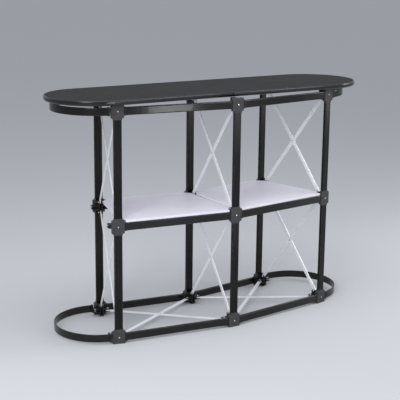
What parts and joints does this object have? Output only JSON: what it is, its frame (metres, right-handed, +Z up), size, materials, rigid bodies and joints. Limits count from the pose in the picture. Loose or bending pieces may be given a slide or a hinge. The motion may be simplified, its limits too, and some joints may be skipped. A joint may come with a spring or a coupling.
{
  "type": "folding portable bar",
  "caption": "Free-standing portable bar with a split rounded tabletop and shelves on a curved scissor frame that folds into a bundle once its uprights, rails and hoops are off.",
  "frame": {"origin": "on the floor, under the middle of the whole bar", "axes": "+Z up, -Y towards the customer side, +X to the right seen from that side"},
  "size_m": [1.42, 0.436, 0.9643],
  "materials": {
    "upright": "satin black",
    "rail": "semi-gloss black",
    "hub": "matte moulded",
    "brace": "satin",
    "shelf": "white laminate",
    "tabletop": "matte charcoal laminate, rounded edge"
  },
  "bodies": {
    "brace_centre_lower_falling": {"brace_centre_lower_falling": "brace"},
    "brace_centre_lower_rising": {"brace_centre_lower_rising": "brace"},
    "brace_centre_upper_rising": {"brace_centre_upper_rising": "brace"},
    "brace_centre_upper_falling": {"brace_centre_upper_falling": "brace"},
    "hub_front_centre_bottom": {"hub_front_centre_bottom": "hub"},
    "hub_front_centre_middle": {"hub_front_centre_middle": "hub"},
    "hub_front_centre_top": {"hub_front_centre_top": "hub"},
    "hub_rear_centre_bottom": {"hub_rear_centre_bottom": "hub"},
    "hub_rear_centre_middle": {"hub_rear_centre_middle": "hub"},
    "hub_rear_centre_top": {"hub_rear_centre_top": "hub"},
    "foot_brace_left_inward": {"foot_brace_left_inward": "brace"},
    "foot_brace_left_outward": {"foot_brace_left_outward": "brace"},
    "brace_left_lower_falling": {"brace_left_lower_falling": "brace"},
    "brace_left_lower_rising": {"brace_left_lower_rising": "brace"},
    "brace_left_upper_rising": {"brace_left_upper_rising": "brace"},
    "brace_left_upper_falling": {"brace_left_upper_falling": "brace"},
    "hub_front_left_bottom": {"hub_front_left_bottom": "hub"},
    "hub_front_left_middle": {"hub_front_left_middle": "hub"},
    "hub_front_left_top": {"hub_front_left_top": "hub"},
    "hub_rear_left_bottom": {"hub_rear_left_bottom": "hub"},
    "hub_rear_left_middle": {"hub_rear_left_middle": "hub"},
    "hub_rear_left_top": {"hub_rear_left_top": "hub"},
    "foot_brace_right_outward": {"foot_brace_right_outward": "brace"},
    "foot_brace_right_inward": {"foot_brace_right_inward": "brace"},
    "brace_right_lower_falling": {"brace_right_lower_falling": "brace"},
    "brace_right_lower_rising": {"brace_right_lower_rising": "brace"},
    "brace_right_upper_rising": {"brace_right_upper_rising": "brace"},
    "brace_right_upper_falling": {"brace_right_upper_falling": "brace"},
    "hub_front_right_bottom": {"hub_front_right_bottom": "hub"},
    "hub_front_right_middle": {"hub_front_right_middle": "hub"},
    "hub_front_right_top": {"hub_front_right_top": "hub"},
    "hub_rear_right_bottom": {"hub_rear_right_bottom": "hub"},
    "hub_rear_right_middle": {"hub_rear_right_middle": "hub"},
    "hub_rear_right_top": {"hub_rear_right_top": "hub"},
    "front_cladding": {"upright_front_left": "upright", "upright_front_centre": "upright", "upright_front_right": "upright", "rail_front_left_bottom": "rail", "rail_front_left_middle": "rail", "rail_front_left_top": "rail", "rail_front_right_bottom": "rail", "rail_front_right_middle": "rail", "rail_front_right_top": "rail"},
    "rear_cladding": {"upright_rear_left": "upright", "upright_rear_centre": "upright", "upright_rear_right": "upright", "rail_rear_left_bottom": "rail", "rail_rear_left_middle": "rail", "rail_rear_left_top": "rail", "rail_rear_right_bottom": "rail", "rail_rear_right_middle": "rail", "rail_rear_right_top": "rail"},
    "shelf_left": {"shelf_left": "shelf"},
    "tabletop_left": {"tabletop_left": "tabletop"},
    "hoop_left_bottom": {"hoop_left_bottom": "rail"},
    "hoop_left_top": {"hoop_left_top": "rail"},
    "shelf_right": {"shelf_right": "shelf"},
    "tabletop_right": {"tabletop_right": "tabletop"},
    "hoop_right_bottom": {"hoop_right_bottom": "rail"},
    "hoop_right_top": {"hoop_right_top": "rail"}
  },
  "joints": [
    {"name": "frame_fold", "type": "hinge", "parent": "hub_front_centre_middle", "child": "brace_centre_lower_falling", "pos_m": [0, -0.17797, 0.451], "axis": [1, 0, 0], "range_deg": [0, 42]},
    {"name": "hub_rear_centre_bottom_pivot", "type": "hinge", "parent": "brace_centre_lower_falling", "child": "hub_rear_centre_bottom", "pos_m": [0, 0.11603, 0.047], "axis": [1, 0, 0], "range_deg": [-42.05, 0]},
    {"name": "brace_centre_lower_rising_rivet", "type": "hinge", "parent": "brace_centre_lower_falling", "child": "brace_centre_lower_rising", "pos_m": [0, -0.03097, 0.249], "axis": [1, 0, 0], "range_deg": [-84.05, 0]},
    {"name": "hub_front_centre_bottom_pivot", "type": "hinge", "parent": "brace_centre_lower_rising", "child": "hub_front_centre_bottom", "pos_m": [0, -0.17797, 0.047], "axis": [1, 0, 0], "range_deg": [0, 42.05]},
    {"name": "hub_rear_centre_middle_pivot", "type": "hinge", "parent": "brace_centre_lower_rising", "child": "hub_rear_centre_middle", "pos_m": [0, 0.11603, 0.451], "axis": [1, 0, 0], "range_deg": [0, 42.05]},
    {"name": "brace_centre_upper_rising_pivot", "type": "hinge", "parent": "hub_front_centre_middle", "child": "brace_centre_upper_rising", "pos_m": [0, -0.17797, 0.493], "axis": [1, 0, 0], "range_deg": [-42.05, 0]},
    {"name": "brace_centre_upper_falling_rivet", "type": "hinge", "parent": "brace_centre_upper_rising", "child": "brace_centre_upper_falling", "pos_m": [0, -0.03097, 0.695], "axis": [1, 0, 0], "range_deg": [0, 84.05]},
    {"name": "hub_rear_centre_top_pivot", "type": "hinge", "parent": "brace_centre_upper_rising", "child": "hub_rear_centre_top", "pos_m": [0, 0.11603, 0.897], "axis": [1, 0, 0], "range_deg": [0, 42.05]},
    {"name": "hub_front_centre_top_pivot", "type": "hinge", "parent": "brace_centre_upper_falling", "child": "hub_front_centre_top", "pos_m": [0, -0.17797, 0.897], "axis": [1, 0, 0], "range_deg": [-42.05, 0]},
    {"name": "foot_brace_left_inward_pivot", "type": "hinge", "parent": "hub_front_centre_bottom", "child": "foot_brace_left_inward", "pos_m": [-0.026, -0.17797, 0.026], "axis": [0, 0, 1], "range_deg": [-36.71, 0]},
    {"name": "hub_rear_left_bottom_pivot", "type": "hinge", "parent": "foot_brace_left_inward", "child": "hub_rear_left_bottom", "pos_m": [-0.39018, 0.16235, 0.026], "axis": [0, 0, 1], "range_deg": [0, 49.1]},
    {"name": "foot_brace_left_outward_rivet", "type": "hinge", "parent": "foot_brace_left_inward", "child": "foot_brace_left_outward", "pos_m": [-0.2248, 0.00781, 0.026], "axis": [0, 0, 1], "range_deg": [0, 85.76]},
    {"name": "brace_left_lower_falling_pivot", "type": "hinge", "parent": "hub_rear_left_bottom", "child": "brace_left_lower_falling", "pos_m": [-0.41535, 0.16886, 0.047], "axis": [0.9681, -0.2504, 0], "range_deg": [0, 42.05]},
    {"name": "hub_front_left_middle_pivot", "type": "hinge", "parent": "brace_left_lower_falling", "child": "hub_front_left_middle", "pos_m": [-0.48896, -0.11577, 0.451], "axis": [0.9681, -0.2504, 0], "range_deg": [-42.05, 0]},
    {"name": "brace_left_lower_rising_rivet", "type": "hinge", "parent": "brace_left_lower_falling", "child": "brace_left_lower_rising", "pos_m": [-0.45216, 0.02655, 0.249], "axis": [0.9681, -0.2504, 0], "range_deg": [-84.05, 0]},
    {"name": "hub_front_left_bottom_pivot", "type": "hinge", "parent": "brace_left_lower_rising", "child": "hub_front_left_bottom", "pos_m": [-0.48896, -0.11577, 0.047], "axis": [0.9681, -0.2504, 0], "range_deg": [0, 42.05]},
    {"name": "hub_rear_left_middle_pivot", "type": "hinge", "parent": "brace_left_lower_rising", "child": "hub_rear_left_middle", "pos_m": [-0.41535, 0.16886, 0.451], "axis": [0.9681, -0.2504, 0], "range_deg": [0, 42.05]},
    {"name": "brace_left_upper_rising_pivot", "type": "hinge", "parent": "hub_front_left_middle", "child": "brace_left_upper_rising", "pos_m": [-0.48896, -0.11577, 0.493], "axis": [0.9681, -0.2504, 0], "range_deg": [-42.05, 0]},
    {"name": "brace_left_upper_falling_rivet", "type": "hinge", "parent": "brace_left_upper_rising", "child": "brace_left_upper_falling", "pos_m": [-0.45216, 0.02655, 0.695], "axis": [0.9681, -0.2504, 0], "range_deg": [0, 84.05]},
    {"name": "hub_rear_left_top_pivot", "type": "hinge", "parent": "brace_left_upper_rising", "child": "hub_rear_left_top", "pos_m": [-0.41535, 0.16886, 0.897], "axis": [0.9681, -0.2504, 0], "range_deg": [0, 42.05]},
    {"name": "hub_front_left_top_pivot", "type": "hinge", "parent": "brace_left_upper_falling", "child": "hub_front_left_top", "pos_m": [-0.48896, -0.11577, 0.897], "axis": [0.9681, -0.2504, 0], "range_deg": [-42.05, 0]},
    {"name": "foot_brace_right_outward_pivot", "type": "hinge", "parent": "hub_front_centre_bottom", "child": "foot_brace_right_outward", "pos_m": [0.026, -0.17797, 0.026], "axis": [0, 0, 1], "range_deg": [0, 36.71]},
    {"name": "hub_rear_right_bottom_pivot", "type": "hinge", "parent": "foot_brace_right_outward", "child": "hub_rear_right_bottom", "pos_m": [0.39018, 0.16235, 0.026], "axis": [0, 0, 1], "range_deg": [-49.1, 0]},
    {"name": "foot_brace_right_inward_rivet", "type": "hinge", "parent": "foot_brace_right_outward", "child": "foot_brace_right_inward", "pos_m": [0.2248, 0.00781, 0.026], "axis": [0, 0, 1], "range_deg": [-85.76, 0]},
    {"name": "brace_right_lower_falling_pivot", "type": "hinge", "parent": "hub_rear_right_bottom", "child": "brace_right_lower_falling", "pos_m": [0.41535, 0.16886, 0.047], "axis": [0.9681, 0.2504, 0], "range_deg": [0, 42.05]},
    {"name": "hub_front_right_middle_pivot", "type": "hinge", "parent": "brace_right_lower_falling", "child": "hub_front_right_middle", "pos_m": [0.48896, -0.11577, 0.451], "axis": [0.9681, 0.2504, 0], "range_deg": [-42.05, 0]},
    {"name": "brace_right_lower_rising_rivet", "type": "hinge", "parent": "brace_right_lower_falling", "child": "brace_right_lower_rising", "pos_m": [0.45216, 0.02655, 0.249], "axis": [0.9681, 0.2504, 0], "range_deg": [-84.05, 0]},
    {"name": "hub_front_right_bottom_pivot", "type": "hinge", "parent": "brace_right_lower_rising", "child": "hub_front_right_bottom", "pos_m": [0.48896, -0.11577, 0.047], "axis": [0.9681, 0.2504, 0], "range_deg": [0, 42.05]},
    {"name": "hub_rear_right_middle_pivot", "type": "hinge", "parent": "brace_right_lower_rising", "child": "hub_rear_right_middle", "pos_m": [0.41535, 0.16886, 0.451], "axis": [0.9681, 0.2504, 0], "range_deg": [0, 42.05]},
    {"name": "brace_right_upper_rising_pivot", "type": "hinge", "parent": "hub_front_right_middle", "child": "brace_right_upper_rising", "pos_m": [0.48896, -0.11577, 0.493], "axis": [0.9681, 0.2504, 0], "range_deg": [-42.05, 0]},
    {"name": "brace_right_upper_falling_rivet", "type": "hinge", "parent": "brace_right_upper_rising", "child": "brace_right_upper_falling", "pos_m": [0.45216, 0.02655, 0.695], "axis": [0.9681, 0.2504, 0], "range_deg": [0, 84.05]},
    {"name": "hub_rear_right_top_pivot", "type": "hinge", "parent": "brace_right_upper_rising", "child": "hub_rear_right_top", "pos_m": [0.41535, 0.16886, 0.897], "axis": [0.9681, 0.2504, 0], "range_deg": [0, 42.05]},
    {"name": "hub_front_right_top_pivot", "type": "hinge", "parent": "brace_right_upper_falling", "child": "hub_front_right_top", "pos_m": [0.48896, -0.11577, 0.897], "axis": [0.9681, 0.2504, 0], "range_deg": [-42.05, 0]},
    {"name": "front_cladding_off", "type": "slide", "parent": "hub_front_centre_middle", "child": "front_cladding", "axis": [0, -1, 0], "range_m": [0, 1.0273]},
    {"name": "rear_cladding_off", "type": "slide", "parent": "hub_front_centre_middle", "child": "rear_cladding", "axis": [0, 1, 0], "range_m": [0, 1.2472]},
    {"name": "shelf_left_lift", "type": "slide", "parent": "front_cladding", "child": "shelf_left", "axis": [0, 0, 1], "range_m": [0, 0.12]},
    {"name": "tabletop_left_lift", "type": "slide", "parent": "hub_front_centre_middle", "child": "tabletop_left", "axis": [0, 0, 1], "range_m": [0, 0.15]},
    {"name": "hoop_left_bottom_off", "type": "slide", "parent": "hub_front_centre_middle", "child": "hoop_left_bottom", "axis": [-1, 0, 0], "range_m": [0, 0.12]},
    {"name": "hoop_left_top_off", "type": "slide", "parent": "hub_front_centre_middle", "child": "hoop_left_top", "axis": [-1, 0, 0], "range_m": [0, 0.12]},
    {"name": "shelf_right_lift", "type": "slide", "parent": "front_cladding", "child": "shelf_right", "axis": [0, 0, 1], "range_m": [0, 0.12]},
    {"name": "tabletop_right_lift", "type": "slide", "parent": "hub_front_centre_middle", "child": "tabletop_right", "axis": [0, 0, 1], "range_m": [0, 0.15]},
    {"name": "hoop_right_bottom_off", "type": "slide", "parent": "hub_front_centre_middle", "child": "hoop_right_bottom", "axis": [1, 0, 0], "range_m": [0, 0.12]},
    {"name": "hoop_right_top_off", "type": "slide", "parent": "hub_front_centre_middle", "child": "hoop_right_top", "axis": [1, 0, 0], "range_m": [0, 0.12]}
  ],
  "couplings": [
    {"joint": "hub_rear_centre_bottom_pivot", "follows": "frame_fold", "ratio": -1},
    {"joint": "brace_centre_lower_rising_rivet", "follows": "frame_fold", "ratio": -2},
    {"joint": "hub_front_centre_bottom_pivot", "follows": "frame_fold", "ratio": 1},
    {"joint": "hub_rear_centre_middle_pivot", "follows": "frame_fold", "ratio": 1},
    {"joint": "brace_centre_upper_rising_pivot", "follows": "frame_fold", "ratio": -1},
    {"joint": "brace_centre_upper_falling_rivet", "follows": "frame_fold", "ratio": 2},
    {"joint": "hub_rear_centre_top_pivot", "follows": "frame_fold", "ratio": 1},
    {"joint": "hub_front_centre_top_pivot", "follows": "frame_fold", "ratio": -1},
    {"joint": "foot_brace_left_inward_pivot", "follows": "frame_fold", "ratio": -0.87287},
    {"joint": "hub_rear_left_bottom_pivot", "follows": "frame_fold", "ratio": 1.1679},
    {"joint": "foot_brace_left_outward_rivet", "follows": "frame_fold", "ratio": 2.0408},
    {"joint": "brace_left_lower_falling_pivot", "follows": "frame_fold", "ratio": 1},
    {"joint": "hub_front_left_middle_pivot", "follows": "frame_fold", "ratio": -1},
    {"joint": "brace_left_lower_rising_rivet", "follows": "frame_fold", "ratio": -2},
    {"joint": "hub_front_left_bottom_pivot", "follows": "frame_fold", "ratio": 1},
    {"joint": "hub_rear_left_middle_pivot", "follows": "frame_fold", "ratio": 1},
    {"joint": "brace_left_upper_rising_pivot", "follows": "frame_fold", "ratio": -1},
    {"joint": "brace_left_upper_falling_rivet", "follows": "frame_fold", "ratio": 2},
    {"joint": "hub_rear_left_top_pivot", "follows": "frame_fold", "ratio": 1},
    {"joint": "hub_front_left_top_pivot", "follows": "frame_fold", "ratio": -1},
    {"joint": "foot_brace_right_outward_pivot", "follows": "frame_fold", "ratio": 0.87287},
    {"joint": "hub_rear_right_bottom_pivot", "follows": "frame_fold", "ratio": -1.1679},
    {"joint": "foot_brace_right_inward_rivet", "follows": "frame_fold", "ratio": -2.0408},
    {"joint": "brace_right_lower_falling_pivot", "follows": "frame_fold", "ratio": 1},
    {"joint": "hub_front_right_middle_pivot", "follows": "frame_fold", "ratio": -1},
    {"joint": "brace_right_lower_rising_rivet", "follows": "frame_fold", "ratio": -2},
    {"joint": "hub_front_right_bottom_pivot", "follows": "frame_fold", "ratio": 1},
    {"joint": "hub_rear_right_middle_pivot", "follows": "frame_fold", "ratio": 1},
    {"joint": "brace_right_upper_rising_pivot", "follows": "frame_fold", "ratio": -1},
    {"joint": "brace_right_upper_falling_rivet", "follows": "frame_fold", "ratio": 2},
    {"joint": "hub_rear_right_top_pivot", "follows": "frame_fold", "ratio": 1},
    {"joint": "hub_front_right_top_pivot", "follows": "frame_fold", "ratio": -1},
    {"joint": "front_cladding_off", "follows": "frame_fold", "m_per_rad": 1.4},
    {"joint": "rear_cladding_off", "follows": "frame_fold", "m_per_rad": 1.7}
  ]
}
